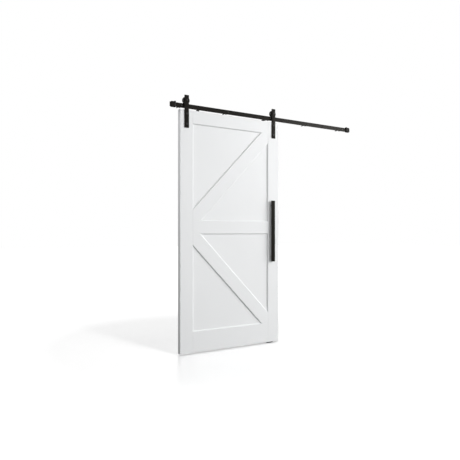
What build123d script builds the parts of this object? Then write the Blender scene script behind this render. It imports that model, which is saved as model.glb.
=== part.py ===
from build123d import *
from math import sqrt
import os

# Interior barn door: a K-brace leaf hung from a flat-bar track by two grooved wheels.
# Millimetres, +Z up. X runs along the track and +Y goes into the wall, so the face looks along -Y.
# The origin is the middle wall fixing, on the wall's plane, at the height of the track bar's centre line.

# Track bar and its wall fixings
TRACK_LENGTH = 2134.0
BAR_HEIGHT = 40.0
BAR_THICKNESS = 6.0
BAR_EDGE = 0.6
FIXING_COUNT = 5
FIXING_FROM_END = 111.0
SPACER_LENGTH = 39.0
SPACER_RADIUS = 14.0
LAG_RADIUS = 4.0
LAG_CORE_RADIUS = 3.7
LAG_IN_WALL = 62.0
LAG_TIP = 7.0
LAG_HEAD_FLATS = 13.0
LAG_HEAD_HEIGHT = 5.3
LAG_HOLE_CLEARANCE = 0.5

# End stops, which straddle the bar
STOP_FROM_END = 5.0
STOP_BODY_WIDTH = 36.0
STOP_BUMPER_WIDTH = 12.0
STOP_LEG_FRONT = 10.0
STOP_LEG_BACK = 6.0
STOP_BODY_ABOVE_BAR = 4.0
STOP_BUMPER_ABOVE_BAR = 9.0
STOP_BELOW_BAR = 4.0
STOP_SLOT_CLEARANCE = 0.1
STOP_EDGE = 1.5
STOP_OUTER_CORNER = 6.0
STOP_SCREW_RADIUS = 3.0
STOP_SCREW_PROUD = 1.5
STOP_SCREW_SOCKET_FLATS = 3.0
STOP_SCREW_SOCKET_DEPTH = 3.0

# Door leaf
DOOR_WIDTH = 1067.0
DOOR_HEIGHT = 2134.0
DOOR_THICKNESS = 44.5
DOOR_FROM_TRACK_END = 93.0
DOOR_TOP_GAP = 14.0
DOOR_EDGE = 1.5
STILE_WIDTH = 124.0
TOP_RAIL_HEIGHT = 112.0
MID_RAIL_HEIGHT = 112.0
MID_RAIL_CENTRE = 1107.0
BOTTOM_RAIL_HEIGHT = 183.0
BRACE_WIDTH = 117.0
BRACE_ANGLE = 45.7

# Board edges: a bevel, a small quirk down to the panel, and the groove that holds the panel
BEVEL_WIDTH = 8.5
BEVEL_DEPTH = 9.5
PANEL_THICKNESS = 22.5
PANEL_FIT = 0.1
PANEL_LAP = 10.0
PANEL_END_GAP = 1.0
V_JOINT_DEPTH = 1.3

# Loose tenons in the rail joints
TENON_LENGTH = 100.0
TENON_THICKNESS = 14.0
TENON_SHARE = 0.56
TENON_EDGE = 1.5
TENON_FIT = 0.1
TENON_END_GAP = 1.0

# Straps, and the bolts that clamp them to the stiles
STRAP_WIDTH = 43.0
STRAP_THICKNESS = 6.0
STRAP_ABOVE_DOOR = 128.0
STRAP_BELOW_TOP = 158.0
STRAP_CORNER = 2.0
STRAP_FROM_DOOR_EDGE = 62.0
STRAP_UPPER_BOLT = 36.0
STRAP_LOWER_BOLT = 125.0
BOLT_RADIUS = 5.0
BOLT_CLEARANCE = 0.3
BOLT_HEAD_FLATS = 16.0
BOLT_HEAD_HEIGHT = 6.0
BOLT_NUT_HEIGHT = 5.0
BOLT_PAST_NUT = 1.2
THREAD_FIT = 0.05

# Grooved wheels
TREAD_RADIUS = 28.0
FLANGE_RADIUS = 33.0
WHEEL_WIDTH = 20.0
WHEEL_GROOVE_CLEARANCE = 0.6
WHEEL_GROOVE_FLARE = 1.6
WHEEL_DISH_RADIUS = 25.5
WHEEL_DISH_DEPTH = 2.0
WHEEL_ON_BAR_GAP = 0.2
WHEEL_TO_STRAP_GAP = 3.0

# Sealed ball bearing in each wheel
BEARING_RADIUS = 15.0
BEARING_WIDTH = 12.0
BEARING_FIT = 0.05
INNER_RING_WALL = 2.35
INNER_RING_PROUD = 0.5
SEAL_GAP = 0.3

# Axle bolt, its sleeve, and its nut
AXLE_RADIUS = 5.0
AXLE_HEAD_FLATS = 17.0
AXLE_HEAD_HEIGHT = 6.4
AXLE_SLEEVE_RADIUS = 7.3
AXLE_NUT_HEIGHT = 9.0
AXLE_PAST_NUT = 1.5

# Anti-jump discs on the top of the door
DISC_RADIUS = 14.0
DISC_FOOT_RADIUS = 10.5
DISC_HEIGHT = 10.5
DISC_RIM_HEIGHT = 4.0
DISC_FROM_DOOR_EDGE = 178.0
WOOD_SCREW_RADIUS = 2.4
WOOD_SCREW_HEAD_RADIUS = 4.6
WOOD_SCREW_LENGTH = 34.0
SCREW_CLEARANCE = 0.2

# Pull handle on the right stile
HANDLE_LENGTH = 588.0
HANDLE_WIDTH = 42.0
HANDLE_THICKNESS = 6.0
HANDLE_EDGE = 0.6
HANDLE_STANDOFF = 22.0
HANDLE_FROM_DOOR_EDGE = 82.0
HANDLE_CENTRE_HEIGHT = 1074.0
HANDLE_POST_RADIUS = 6.0
HANDLE_POST_FROM_END = 45.0
HANDLE_BOLT_RADIUS = 3.0
HANDLE_BOLT_IN_POST = 16.0
HANDLE_BOLT_HEAD_RADIUS = 6.5
HANDLE_BOLT_HEAD_HEIGHT = 3.5

# Floor guide, whose fin runs in a groove under the leaf
FLOOR_GAP = 10.0
GUIDE_GROOVE_DEPTH = 20.0
GUIDE_GROOVE_CLEARANCE = 0.75
GUIDE_FIN_THICKNESS = 6.0
GUIDE_FIN_IN_GROOVE = 16.0
GUIDE_FIN_LENGTH = 30.0
GUIDE_BASE_LENGTH = 66.0
GUIDE_BASE_WIDTH = 32.0
GUIDE_BASE_THICKNESS = 3.5
GUIDE_SCREW_SPACING = 48.0
GUIDE_SCREW_RADIUS = 2.0
GUIDE_SCREW_CORE_RADIUS = 1.8
GUIDE_SCREW_HEAD_RADIUS = 4.0
GUIDE_SCREW_IN_FLOOR = 28.0
GUIDE_FROM_DOOR_EDGE = 93.0

# Planes along Y, from the wall outwards
bar_back = -SPACER_LENGTH
bar_front = bar_back - BAR_THICKNESS
bar_mid = (bar_back + bar_front) / 2
strap_back = bar_mid - WHEEL_WIDTH / 2 - WHEEL_TO_STRAP_GAP
strap_front = strap_back - STRAP_THICKNESS
door_front = strap_back
door_back = door_front + DOOR_THICKNESS
door_mid = (door_front + door_back) / 2
panel_front = door_mid - PANEL_THICKNESS / 2
handle_back = door_front - HANDLE_STANDOFF
handle_front = handle_back - HANDLE_THICKNESS
ring_reach = BEARING_WIDTH / 2 + INNER_RING_PROUD

# Heights along Z
bar_top = BAR_HEIGHT / 2
bar_bottom = -bar_top
door_top = bar_bottom - DOOR_TOP_GAP
door_bottom = door_top - DOOR_HEIGHT
floor_top = door_bottom - FLOOR_GAP
axle_height = bar_top + TREAD_RADIUS + WHEEL_ON_BAR_GAP
strap_top = door_top + STRAP_ABOVE_DOOR
strap_bottom = door_top - STRAP_BELOW_TOP
top_rail_edge = door_top - TOP_RAIL_HEIGHT
mid_rail_mid = door_bottom + MID_RAIL_CENTRE
mid_rail_top = mid_rail_mid + MID_RAIL_HEIGHT / 2
mid_rail_low = mid_rail_mid - MID_RAIL_HEIGHT / 2
bottom_rail_edge = door_bottom + BOTTOM_RAIL_HEIGHT
handle_mid = door_bottom + HANDLE_CENTRE_HEIGHT

# Places along X
door_left = DOOR_FROM_TRACK_END - TRACK_LENGTH / 2
door_right = door_left + DOOR_WIDTH
left_edge = door_left + STILE_WIDTH
right_edge = door_right - STILE_WIDTH
strap_xs = (door_left + STRAP_FROM_DOOR_EDGE, door_right - STRAP_FROM_DOOR_EDGE)
disc_xs = (door_left + DISC_FROM_DOOR_EDGE, door_right - DISC_FROM_DOOR_EDGE)
handle_x = door_right - HANDLE_FROM_DOOR_EDGE
guide_x = door_right - GUIDE_FROM_DOOR_EDGE
fixing_pitch = (TRACK_LENGTH - 2 * FIXING_FROM_END) / (FIXING_COUNT - 1)
fixing_xs = [(i - (FIXING_COUNT - 1) / 2) * fixing_pitch for i in range(FIXING_COUNT)]
bolt_heights = (door_top - STRAP_UPPER_BOLT, door_top - STRAP_LOWER_BOLT)
handle_reach = HANDLE_LENGTH / 2 - HANDLE_POST_FROM_END
post_heights = (handle_mid - handle_reach, handle_mid + handle_reach)


def block(x0, x1, y0, y1, z0, z1):
    """A block between two corners."""
    middle = Pos((x0 + x1) / 2, (y0 + y1) / 2, (z0 + z1) / 2)
    return middle * Box(x1 - x0, y1 - y0, z1 - z0)


def rod(radius, y0, y1, x=0.0, z=0.0):
    """A round rod along Y."""
    return Pos(x, (y0 + y1) / 2, z) * Rot(90, 0, 0) * Cylinder(radius, y1 - y0)


def tube(outer, inner, y0, y1, x=0.0, z=0.0):
    """A round tube along Y."""
    return rod(outer, y0, y1, x, z) - rod(inner, y0, y1, x, z)


def hexagon(flats, y0, y1, x=0.0, z=0.0):
    """A hexagonal prism along Y, with two corners level."""
    outline = RegularPolygon(flats / 2, 6, major_radius=False)
    return Pos(x, y1, z) * extrude(Plane.XZ * outline, y1 - y0)


def turned(points, x, z):
    """A ring about the Y axis through (x, z), from points of (radius, y)."""
    outline = make_face(Polyline(*points, close=True))
    return Pos(x, 0, z) * revolve(outline, Axis.Y)


def upright(points, x, y):
    """A solid turned about a vertical axis through (x, y), from points of (radius, z)."""
    outline = make_face(Plane.XZ * Polyline(*points, close=True))
    return Pos(x, y, 0) * revolve(outline, Axis.Z)


def save(name, *solids):
    """Writes one node, as one solid or as a group of like solids."""
    pieces = [piece for item in solids for piece in item.solids()]
    export_step(pieces[0] if len(pieces) == 1 else Compound(pieces), f"parts/{name}.step")


# Board sections


def edge_points(half_width, worked):
    """The outline of a board's edge at +half_width, from the front face to the back one.

    A plain edge has its corners eased. A worked edge has the bevels, the quirks and the panel groove.
    """
    half = DOOR_THICKNESS / 2
    if not worked:
        return [
            (half_width - DOOR_EDGE, -half),
            (half_width, -half + DOOR_EDGE),
            (half_width, half - DOOR_EDGE),
            (half_width - DOOR_EDGE, half),
        ]
    lip = half_width + BEVEL_WIDTH
    mouth = PANEL_THICKNESS / 2 + PANEL_FIT
    front_half = [
        (half_width, -half),
        (lip, -half + BEVEL_DEPTH),
        (lip, -mouth),
        (half_width - PANEL_LAP, -mouth),
    ]
    return front_half + [(u, -v) for u, v in reversed(front_half)]


def board(width, length, worked_right, worked_left):
    """A board along Z from 0, with its width along X and its thickness about y = 0."""
    right = edge_points(width / 2, worked_right)
    left = [(-u, v) for u, v in reversed(edge_points(width / 2, worked_left))]
    return extrude(make_face(Polyline(*right, *left, close=True)), length)


def stile(x_mid, worked_right, worked_left):
    """A full-height stile, before its holes."""
    return Pos(x_mid, door_mid, door_bottom) * board(STILE_WIDTH, DOOR_HEIGHT, worked_right, worked_left)


def rail(z_low, z_high, worked_top, worked_low, stiles):
    """A rail whose ends are coped over the stiles' edges and tongued into their grooves."""
    start = left_edge - PANEL_LAP + PANEL_END_GAP
    end = right_edge + PANEL_LAP - PANEL_END_GAP
    lying = board(z_high - z_low, end - start, worked_low, worked_top)
    return Pos(start, door_mid, (z_low + z_high) / 2) * Rot(0, 90, 0) * lying - stiles


def brace(z_low, z_high, angle, front, frame):
    """A brace on one face of a panel, flush with the frame, with its ends coped to it."""
    half, lip = BRACE_WIDTH / 2, BRACE_WIDTH / 2 + BEVEL_WIDTH
    face, bed = -DOOR_THICKNESS / 2, -PANEL_THICKNESS / 2
    outline = [(half, face), (lip, face + BEVEL_DEPTH), (lip, bed)]
    outline += [(-u, v) for u, v in reversed(outline)]
    if not front:
        outline = [(u, -v) for u, v in outline]
    reach = DOOR_HEIGHT
    stick = Pos(0, 0, -reach / 2) * extrude(make_face(Polyline(*outline, close=True)), reach)
    x_mid, z_mid = (left_edge + right_edge) / 2, (z_low + z_high) / 2
    placed = Pos(x_mid, door_mid, z_mid) * Rot(0, 90 - angle, 0) * stick
    opening = block(left_edge, right_edge, door_front, door_back, z_low, z_high)
    return (placed & opening) - frame


def v_joints():
    """Small V grooves on both faces along every line where boards meet."""
    side = V_JOINT_DEPTH * sqrt(2)
    x_mid, z_mid = (left_edge + right_edge) / 2, (door_top + door_bottom) / 2
    across, grooves = right_edge - left_edge, []
    for y in (door_front, door_back):
        for x in (left_edge, right_edge):
            grooves.append(Pos(x, y, z_mid) * Rot(0, 0, 45) * Box(side, side, DOOR_HEIGHT + side))
        for z in (top_rail_edge, mid_rail_top, mid_rail_low, bottom_rail_edge):
            grooves.append(Pos(x_mid, y, z) * Rot(45, 0, 0) * Box(across, side, side))
    return grooves


def tenon(x, z_low, z_high, fit, end_gap):
    """A loose tenon across one joint, with its long edges eased, or its mortises with their fit."""
    reach, half = TENON_LENGTH / 2 + end_gap, TENON_THICKNESS / 2 + fit
    middle, rise = (z_low + z_high) / 2, (z_high - z_low) * TENON_SHARE / 2 + fit
    bar = block(x - reach, x + reach, door_mid - half, door_mid + half, middle - rise, middle + rise)
    return chamfer(bar.edges().filter_by(Axis.X), TENON_EDGE)


def tenons(fit=0.0, end_gap=0.0):
    """The loose tenons, or their mortises, at both ends of every rail."""
    rails = (
        (top_rail_edge, door_top),
        (mid_rail_low, mid_rail_top),
        (door_bottom, bottom_rail_edge),
    )
    return [tenon(x, low, high, fit, end_gap) for x in (left_edge, right_edge) for low, high in rails]


def guide_groove():
    """The groove under the leaf that the guide's fin runs in."""
    half = GUIDE_FIN_THICKNESS / 2 + GUIDE_GROOVE_CLEARANCE
    top = door_bottom + GUIDE_GROOVE_DEPTH
    return block(door_left, door_right, door_mid - half, door_mid + half, door_bottom, top)


def strap_bolt_holes(x):
    """Holes through a stile for its strap's two bolts."""
    return [rod(BOLT_RADIUS + BOLT_CLEARANCE, door_front, door_back, x, z) for z in bolt_heights]


def handle_bolt_holes():
    """Holes through the right stile for the handle's two bolts."""
    radius = HANDLE_BOLT_RADIUS + BOLT_CLEARANCE
    return [rod(radius, door_front, door_back, handle_x, z) for z in post_heights]


def disc_screw_profile(extra=0.0):
    """A countersunk wood screw down through a disc, as (radius, z) points."""
    top = door_top + DISC_HEIGHT
    shank, head = WOOD_SCREW_RADIUS + extra, WOOD_SCREW_HEAD_RADIUS + extra
    tip = top - WOOD_SCREW_LENGTH - extra
    return [(0, top), (head, top), (shank, top - (head - shank)), (shank, tip), (0, tip)]


def disc_screws(extra=0.0):
    """The discs' screws, or their holes."""
    return [upright(disc_screw_profile(extra), x, bar_mid) for x in disc_xs]


def leaf():
    """The boards, panels and braces of the leaf, by name."""
    v_grooves, mortises = v_joints(), tenons(TENON_FIT, TENON_END_GAP)
    left_holes, right_holes = strap_bolt_holes(strap_xs[0]), strap_bolt_holes(strap_xs[1])
    left = stile(door_left + STILE_WIDTH / 2, True, False)
    right = stile(door_right - STILE_WIDTH / 2, False, True)
    stiles = left + right
    rails = {
        "top_rail": rail(top_rail_edge, door_top, False, True, stiles),
        "mid_rail": rail(mid_rail_low, mid_rail_top, True, True, stiles),
        "bottom_rail": rail(door_bottom, bottom_rail_edge, True, False, stiles),
    }
    frame = stiles + list(rails.values())
    boards = {
        "left_stile": left - mortises - guide_groove() - left_holes,
        "right_stile": right - mortises - guide_groove() - right_holes - handle_bolt_holes(),
        "top_rail": rails["top_rail"] - mortises - disc_screws(SCREW_CLEARANCE),
        "mid_rail": rails["mid_rail"] - mortises,
        "bottom_rail": rails["bottom_rail"] - mortises - guide_groove(),
        "upper_brace_front": brace(mid_rail_top, top_rail_edge, BRACE_ANGLE, True, frame),
        "upper_brace_back": brace(mid_rail_top, top_rail_edge, BRACE_ANGLE, False, frame),
        "lower_brace_front": brace(bottom_rail_edge, mid_rail_low, -BRACE_ANGLE, True, frame),
        "lower_brace_back": brace(bottom_rail_edge, mid_rail_low, -BRACE_ANGLE, False, frame),
    }
    boards = {name: piece - v_grooves for name, piece in boards.items()}
    return boards | {
        "upper_panel": panel(mid_rail_top, top_rail_edge),
        "lower_panel": panel(bottom_rail_edge, mid_rail_low),
    }


def panel(z_low, z_high):
    """A flat panel that floats in the grooves round one opening."""
    lap = PANEL_LAP - PANEL_END_GAP
    y_back = panel_front + PANEL_THICKNESS
    return block(left_edge - lap, right_edge + lap, panel_front, y_back, z_low - lap, z_high + lap)


# Track


def track_rail():
    """The flat bar, with a hole at each wall fixing."""
    half = TRACK_LENGTH / 2
    bar = block(-half, half, bar_front, bar_back, bar_bottom, bar_top)
    bar = chamfer(bar.edges().filter_by(Axis.X), BAR_EDGE)
    radius = LAG_RADIUS + LAG_HOLE_CLEARANCE
    return bar - [rod(radius, bar_front, bar_back, x) for x in fixing_xs]


def wall_spacers():
    """The tubes that hold the bar off the wall."""
    bore = LAG_RADIUS + LAG_HOLE_CLEARANCE
    return [tube(SPACER_RADIUS, bore, bar_back, 0, x) for x in fixing_xs]


def lag_bolts():
    """Hexagon-head lag bolts: a plain shank through the spacer, and the threaded core in the wall."""
    cone = LAG_IN_WALL - LAG_TIP
    stem = [
        (0, bar_front),
        (LAG_RADIUS, bar_front),
        (LAG_RADIUS, 0),
        (LAG_CORE_RADIUS, 0),
        (LAG_CORE_RADIUS, cone),
        (0, LAG_IN_WALL),
    ]
    head_front = bar_front - LAG_HEAD_HEIGHT
    return [turned(stem, x, 0) + hexagon(LAG_HEAD_FLATS, head_front, bar_front, x) for x in fixing_xs]


def stop_saddle(x0, x1, above_bar, low_x_corner, high_x_corner):
    """A block that straddles the bar, open below, with its corners cut at both ends."""
    slot_front, slot_back = bar_front - STOP_SLOT_CLEARANCE, bar_back + STOP_SLOT_CLEARANCE
    front, back = bar_front - STOP_LEG_FRONT, bar_back + STOP_LEG_BACK
    low, high = bar_bottom - STOP_BELOW_BAR, bar_top + above_bar
    body = block(x0, x1, front, back, low, high)
    for end, corner in ((0, low_x_corner), (-1, high_x_corner)):
        body = chamfer(body.edges().filter_by(Axis.Y).group_by(Axis.X)[end], corner)
    return body - block(x0, x1, slot_front, slot_back, low, bar_top)


def stop_screw(x, extra=0.0):
    """The set screw that clamps a stop, its tip against the bar."""
    radius = STOP_SCREW_RADIUS + extra
    return rod(radius, bar_front - STOP_LEG_FRONT - STOP_SCREW_PROUD, bar_front, x)


def end_stop(side):
    """The body, bumper and set screw of the stop on one side: -1 left, +1 right."""
    outer = side * (TRACK_LENGTH / 2 - STOP_FROM_END)
    joint = outer - side * STOP_BODY_WIDTH
    face = joint - side * STOP_BUMPER_WIDTH
    screw_x = (joint + outer) / 2
    corners = (STOP_OUTER_CORNER, STOP_EDGE) if side < 0 else (STOP_EDGE, STOP_OUTER_CORNER)
    body = stop_saddle(min(joint, outer), max(joint, outer), STOP_BODY_ABOVE_BAR, *corners)
    bumper = stop_saddle(min(face, joint), max(face, joint), STOP_BUMPER_ABOVE_BAR, STOP_EDGE, STOP_EDGE)
    front = bar_front - STOP_LEG_FRONT - STOP_SCREW_PROUD
    socket = hexagon(STOP_SCREW_SOCKET_FLATS, front, front + STOP_SCREW_SOCKET_DEPTH, screw_x)
    return body - stop_screw(screw_x, THREAD_FIT), bumper, stop_screw(screw_x) - socket


def guide_screw_profile(extra=0.0):
    """A countersunk screw down through the guide's base, as (radius, z) points."""
    top = floor_top + GUIDE_BASE_THICKNESS
    head, shank = GUIDE_SCREW_HEAD_RADIUS + extra, GUIDE_SCREW_RADIUS + extra
    core, tip = GUIDE_SCREW_CORE_RADIUS + extra, floor_top - GUIDE_SCREW_IN_FLOOR
    return [
        (0, top),
        (head, top),
        (shank, top - (head - shank)),
        (shank, floor_top),
        (core, floor_top),
        (core, tip),
        (0, tip),
    ]


def guide_screws(extra=0.0):
    """The floor guide's screws, or their holes."""
    offsets = (-GUIDE_SCREW_SPACING / 2, GUIDE_SCREW_SPACING / 2)
    return [upright(guide_screw_profile(extra), guide_x + dx, door_mid) for dx in offsets]


def floor_guide():
    """A base plate on the floor with an upright fin."""
    length, width, fin = GUIDE_BASE_LENGTH / 2, GUIDE_BASE_WIDTH / 2, GUIDE_FIN_LENGTH / 2
    top, half = floor_top + GUIDE_BASE_THICKNESS, GUIDE_FIN_THICKNESS / 2
    base = block(guide_x - length, guide_x + length, door_mid - width, door_mid + width, floor_top, top)
    fin_top = door_bottom + GUIDE_FIN_IN_GROOVE
    upright_fin = block(guide_x - fin, guide_x + fin, door_mid - half, door_mid + half, top, fin_top)
    lead_in = chamfer(upright_fin.edges().group_by(Axis.Z)[-1], GUIDE_FIN_THICKNESS / 4)
    return base + lead_in - guide_screws(SCREW_CLEARANCE)


# Hangers


def strap(x):
    """A flat hanger strap with holes for its two bolts and the axle."""
    half = STRAP_WIDTH / 2
    plate = block(x - half, x + half, strap_front, strap_back, strap_bottom, strap_top)
    plate = chamfer(plate.edges().filter_by(Axis.Y), STRAP_CORNER)
    holes = [rod(BOLT_RADIUS + BOLT_CLEARANCE, strap_front, strap_back, x, z) for z in bolt_heights]
    axle_hole = rod(AXLE_RADIUS + BOLT_CLEARANCE, strap_front, strap_back, x, axle_height)
    return plate - holes - axle_hole


def strap_bolt(x, z):
    """A hexagon-head bolt through a strap, the stile and its nut."""
    head = hexagon(BOLT_HEAD_FLATS, strap_front - BOLT_HEAD_HEIGHT, strap_front, x, z)
    return head + rod(BOLT_RADIUS, strap_front, door_back + BOLT_NUT_HEIGHT + BOLT_PAST_NUT, x, z)


def nut(flats, height, bolt_radius, seat, x, z):
    """A hexagon nut on a bolt, from its seat towards the wall."""
    return hexagon(flats, seat, seat + height, x, z) - rod(bolt_radius + THREAD_FIT, seat, seat + height, x, z)


def strap_nut(x, z):
    """The thin nut of a strap bolt, on the back of the leaf."""
    return nut(BOLT_HEAD_FLATS, BOLT_NUT_HEIGHT, BOLT_RADIUS, door_back, x, z)


def axle_bolt(x):
    """The bolt that carries a wheel on its strap."""
    tip = bar_mid + ring_reach + AXLE_NUT_HEIGHT + AXLE_PAST_NUT
    head = hexagon(AXLE_HEAD_FLATS, strap_front - AXLE_HEAD_HEIGHT, strap_front, x, axle_height)
    return head + rod(AXLE_RADIUS, strap_front, tip, x, axle_height)


def axle_sleeve(x):
    """The sleeve between a strap and the bearing's inner ring."""
    bore = AXLE_RADIUS + BEARING_FIT
    return tube(AXLE_SLEEVE_RADIUS, bore, strap_back, bar_mid - ring_reach, x, axle_height)


def axle_nut(x):
    """The nut behind a wheel, against the bearing's inner ring."""
    return nut(AXLE_HEAD_FLATS, AXLE_NUT_HEIGHT, AXLE_RADIUS, bar_mid + ring_reach, x, axle_height)


def wheel(x):
    """A wheel grooved for the bar, dished on both sides, with a seat for its bearing."""
    half, groove = WHEEL_WIDTH / 2, BAR_THICKNESS / 2 + WHEEL_GROOVE_CLEARANCE
    seat, dish = BEARING_RADIUS + BEARING_FIT, half - WHEEL_DISH_DEPTH
    back_half = [
        (TREAD_RADIUS, groove),
        (FLANGE_RADIUS, groove + WHEEL_GROOVE_FLARE),
        (FLANGE_RADIUS, half),
        (WHEEL_DISH_RADIUS, half),
        (WHEEL_DISH_RADIUS, dish),
        (seat, dish),
    ]
    around = back_half + [(r, -y) for r, y in reversed(back_half)]
    return turned([(r, bar_mid + y) for r, y in around], x, axle_height)


def inner_ring(x):
    """The ring of a bearing that the axle holds still, a little proud of the bearing on both sides."""
    bore, front, back = AXLE_RADIUS + BEARING_FIT, bar_mid - ring_reach, bar_mid + ring_reach
    return tube(bore + INNER_RING_WALL, bore, front, back, x, axle_height)


def bearing(x):
    """What turns of a sealed bearing: its outer ring and seals, solid between them."""
    bore, half = AXLE_RADIUS + BEARING_FIT + INNER_RING_WALL + SEAL_GAP, BEARING_WIDTH / 2
    return tube(BEARING_RADIUS, bore, bar_mid - half, bar_mid + half, x, axle_height)


# Small parts on the leaf


def anti_jump_discs():
    """Discs on the top edge, close under the bar and narrower at the foot."""
    top = door_top + DISC_HEIGHT
    section = [
        (0, door_top),
        (DISC_FOOT_RADIUS, door_top),
        (DISC_RADIUS, top - DISC_RIM_HEIGHT),
        (DISC_RADIUS, top),
        (0, top),
    ]
    return [upright(section, x, bar_mid) - disc_screws(SCREW_CLEARANCE) for x in disc_xs]


def handle_bar():
    """The flat pull bar."""
    half, reach = HANDLE_WIDTH / 2, HANDLE_LENGTH / 2
    x0, x1, z0, z1 = handle_x - half, handle_x + half, handle_mid - reach, handle_mid + reach
    bar = block(x0, x1, handle_front, handle_back, z0, z1)
    return chamfer(bar.edges().group_by(Axis.Y)[0], HANDLE_EDGE)


def handle_post(z):
    """A post between the pull bar and the stile, tapped for its bolt."""
    tapped = rod(HANDLE_BOLT_RADIUS + THREAD_FIT, door_front - HANDLE_BOLT_IN_POST, door_front, handle_x, z)
    return rod(HANDLE_POST_RADIUS, handle_back, door_front, handle_x, z) - tapped


def handle_bolt(z):
    """A flat-head bolt from the back of the leaf into a post."""
    head_back = door_back + HANDLE_BOLT_HEAD_HEIGHT
    tip = door_front - HANDLE_BOLT_IN_POST + BOLT_CLEARANCE
    head = rod(HANDLE_BOLT_HEAD_RADIUS, door_back, head_back, handle_x, z)
    return head + rod(HANDLE_BOLT_RADIUS, tip, door_back, handle_x, z)


os.makedirs("parts", exist_ok=True)

save("track_rail", track_rail())
save("wall_spacers", *wall_spacers())
save("lag_bolts", *lag_bolts())
stops = {"left": end_stop(-1), "right": end_stop(1)}
for side, (body, bumper, _) in stops.items():
    save(f"{side}_stop_body", body)
    save(f"{side}_stop_bumper", bumper)
save("stop_screws", *[screw for _, _, screw in stops.values()])
save("floor_guide", floor_guide())
save("floor_guide_screws", *guide_screws())

for name, piece in leaf().items():
    save(name, piece)
save("frame_tenons", *tenons())

bolt_places = [(x, z) for x in strap_xs for z in bolt_heights]
save("strap_bolts", *[strap_bolt(x, z) for x, z in bolt_places])
save("strap_nuts", *[strap_nut(x, z) for x, z in bolt_places])
save("axle_bolts", *[axle_bolt(x) for x in strap_xs])
save("axle_sleeves", *[axle_sleeve(x) for x in strap_xs])
save("axle_nuts", *[axle_nut(x) for x in strap_xs])
save("bearing_inner_rings", *[inner_ring(x) for x in strap_xs])
for side, x in zip(("left", "right"), strap_xs):
    save(f"{side}_strap", strap(x))
    save(f"{side}_wheel", wheel(x))
    save(f"{side}_bearing", bearing(x))

save("anti_jump_discs", *anti_jump_discs())
save("anti_jump_screws", *disc_screws())
save("handle_bar", handle_bar())
save("handle_posts", *[handle_post(z) for z in post_heights])
save("handle_bolts", *[handle_bolt(z) for z in post_heights])
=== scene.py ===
import logging
from dataclasses import dataclass
from enum import Enum
from functools import cached_property
from math import pi, radians

import bpy
import numpy as np
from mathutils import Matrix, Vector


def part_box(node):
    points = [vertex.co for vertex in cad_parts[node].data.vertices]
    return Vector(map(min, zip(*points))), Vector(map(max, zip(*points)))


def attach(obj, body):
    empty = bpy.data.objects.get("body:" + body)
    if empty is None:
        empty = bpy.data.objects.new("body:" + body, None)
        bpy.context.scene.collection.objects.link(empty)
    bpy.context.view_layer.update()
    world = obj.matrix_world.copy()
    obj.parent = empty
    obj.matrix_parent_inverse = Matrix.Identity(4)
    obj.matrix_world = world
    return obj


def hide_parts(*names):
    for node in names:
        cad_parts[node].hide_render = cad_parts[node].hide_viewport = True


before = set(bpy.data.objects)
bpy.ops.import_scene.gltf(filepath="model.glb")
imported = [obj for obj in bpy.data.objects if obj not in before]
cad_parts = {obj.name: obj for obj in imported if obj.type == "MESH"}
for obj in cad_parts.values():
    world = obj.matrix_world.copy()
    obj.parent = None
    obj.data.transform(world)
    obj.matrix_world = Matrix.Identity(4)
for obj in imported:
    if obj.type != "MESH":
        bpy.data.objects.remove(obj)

# Interior barn door: a white K-brace leaf on a black flat-bar track.
# Lengths are metres in the part's own frame: +X along the track, +Y into the wall, +Z up.
# The leaf's boards and tenons and the floor guide are the frame's own solids with a finish. The other
# pieces are built here, with rounded edges, chamfered hexagons, threads and recesses.

log = logging.getLogger("barn_door")
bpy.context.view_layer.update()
SIDES = ("left", "right")
SHARP_EDGE = radians(32.0)
CHAMFER = radians(30.0)
FIXING_COUNT = 5
Spots = list[tuple[float, float]]

# How finely curves are divided.
ROUND_SEGMENTS = 48
END_STEPS = 8
EDGE_STEPS = 4
BAR_EDGE_STEPS = 5
CHAMFER_ROWS = 6


# Node trees


class Wire:
    """A socket's value that Python's operators work on. Each operator adds one Math node."""

    def __init__(self, recipe: "Recipe", socket: bpy.types.NodeSocket) -> None:
        """Wraps an output socket of a recipe's node tree."""
        self.recipe = recipe
        self.socket = socket

    def _math(self, operation: str, *values: "Wire | float") -> "Wire":
        """Adds one Math node.

        Args:
            operation: The node's operation.
            values: Its inputs in order, as wires or numbers.

        Returns:
            The node's result.
        """
        inputs = dict(enumerate(values))
        return self.recipe.add("ShaderNodeMath", inputs, operation=operation).out("Value")

    def __add__(self, other: "Wire | float") -> "Wire":
        """The sum."""
        return self._math("ADD", self, other)

    def __radd__(self, other: float) -> "Wire":
        """The sum, with the number first."""
        return self._math("ADD", other, self)

    def __sub__(self, other: "Wire | float") -> "Wire":
        """The difference."""
        return self._math("SUBTRACT", self, other)

    def __rsub__(self, other: float) -> "Wire":
        """The difference, with the number first."""
        return self._math("SUBTRACT", other, self)

    def __mul__(self, other: "Wire | float") -> "Wire":
        """The product."""
        return self._math("MULTIPLY", self, other)

    def __rmul__(self, other: float) -> "Wire":
        """The product, with the number first."""
        return self._math("MULTIPLY", other, self)

    def __pow__(self, other: "Wire | float") -> "Wire":
        """The power."""
        return self._math("POWER", self, other)

    def clipped(self) -> "Wire":
        """The value held between 0 and 1."""
        return self._math("MINIMUM", self._math("MAXIMUM", self, 0.0), 1.0)


def hypotenuse(across: Wire, up: Wire) -> Wire:
    """The root of the sum of two squares."""
    return (across * across + up * up) ** 0.5


def swayed(level: float, noise: Wire, spread: float) -> Wire:
    """A level that a noise moves up and down, by at most half a spread."""
    return level + (noise - 0.5) * spread


def above(value: Wire, threshold: float, slope: float) -> Wire:
    """How far a value lies above a threshold, times a slope and held between 0 and 1."""
    return ((value - threshold) * slope).clipped()


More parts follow.
